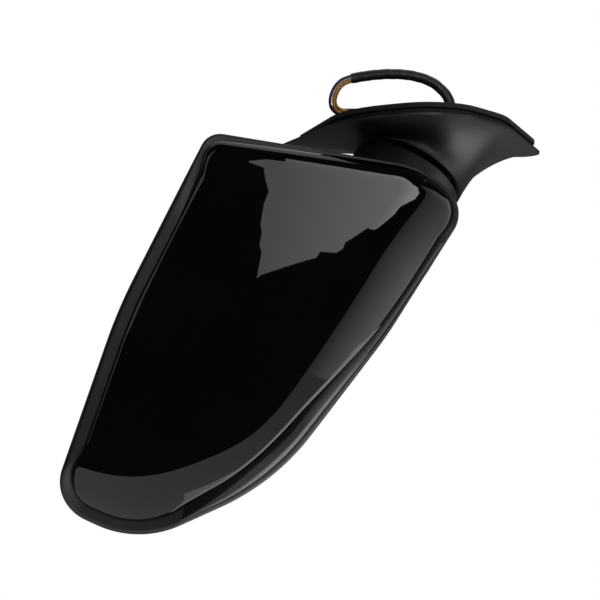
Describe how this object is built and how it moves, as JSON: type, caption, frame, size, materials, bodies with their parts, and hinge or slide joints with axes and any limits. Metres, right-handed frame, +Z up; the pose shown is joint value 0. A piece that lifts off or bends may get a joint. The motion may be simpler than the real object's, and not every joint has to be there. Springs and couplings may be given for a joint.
{
  "type": "car side mirror",
  "caption": "Right-hand car door mirror: tapered gloss cap on a satin shell with a smoky indicator strip, folding neck, flared foot on a door plate, tilting glass and wire harness.",
  "frame": {"origin": "middle of the door plate's central pad, on the face that meets the door", "axes": "+X inboard into the door, along the pad's normal; +Y rearward along the door; +Z up along the door plate"},
  "size_m": [0.2699, 0.1448, 0.2848],
  "materials": {
    "gloss_black": "piano black, high gloss",
    "satin_black": "fine-grained satin",
    "smoky_lens": "smoky clear",
    "rubber": "matte",
    "harness_sleeve": "taped, matte",
    "zinc_casting": "as cast",
    "coated_casting": "black dip coat",
    "steel": "zinc plated",
    "nylon": "moulded",
    "connector": "moulded",
    "light_board": "solder mask",
    "mirror": "silvered",
    "wire_white": "insulation",
    "wire_yellow": "insulation",
    "wire_orange": "insulation",
    "wire_blue": "insulation",
    "wire_pink": "insulation"
  },
  "bodies": {
    "base": {"foot_cover": "satin_black", "door_plate": "coated_casting", "door_gasket": "rubber", "threaded_insert_1": "steel", "threaded_insert_2": "steel", "threaded_insert_3": "steel", "harness_grommet": "rubber", "harness_sleeve": "harness_sleeve", "wire_1": "wire_white", "wire_2": "wire_yellow", "wire_3": "wire_orange", "wire_4": "wire_blue", "wire_5": "wire_pink", "connector": "connector", "base_pivot_bracket": "zinc_casting", "pivot_post": "zinc_casting", "hinge_pin": "steel"},
    "head": {"head_housing": "satin_black", "front_cap": "gloss_black", "rear_bezel": "satin_black", "indicator_lens": "smoky_lens", "indicator_board": "light_board", "neck_collar": "satin_black", "head_pivot_bracket": "zinc_casting", "carrier_frame": "nylon", "actuator_housing": "nylon", "actuator_cover": "nylon", "tilt_motor_side": "steel", "tilt_motor_up": "steel", "actuator_screw_1": "steel", "actuator_screw_2": "steel", "actuator_screw_3": "steel"},
    "gimbal": {"gimbal_ring": "nylon"},
    "glass": {"glass_carrier": "nylon", "heater_pad": "rubber", "mirror_glass": "mirror"},
    "jack_side": {"jackscrew_side": "nylon"},
    "jack_up": {"jackscrew_up": "nylon"}
  },
  "joints": [
    {"name": "head_fold", "type": "hinge", "parent": "base", "child": "head", "pos_m": [-0.03908, 0.03111, 0.01458], "axis": [-0.471, 0.0662, -0.8796], "range_deg": [0, 60]},
    {"name": "glass_yaw", "type": "hinge", "parent": "head", "child": "gimbal", "pos_m": [-0.13772, 0.0273, 0.11258], "axis": [0.471, -0.0662, 0.8796], "range_deg": [-8, 8]},
    {"name": "glass_pitch", "type": "hinge", "parent": "gimbal", "child": "glass", "pos_m": [-0.13772, 0.0273, 0.11258], "axis": [0.8711, -0.1224, -0.4756], "range_deg": [-8, 8]},
    {"name": "jack_side_slide", "type": "slide", "parent": "head", "child": "jack_side", "axis": [0.1392, 0.9903, 0], "range_m": [-0.005, 0.005]},
    {"name": "jack_up_slide", "type": "slide", "parent": "head", "child": "jack_up", "axis": [0.1392, 0.9903, 0], "range_m": [-0.005, 0.005]}
  ],
  "couplings": [
    {"joint": "jack_side_slide", "follows": "glass_yaw", "m_per_rad": -0.034},
    {"joint": "jack_up_slide", "follows": "glass_pitch", "m_per_rad": 0.034}
  ]
}
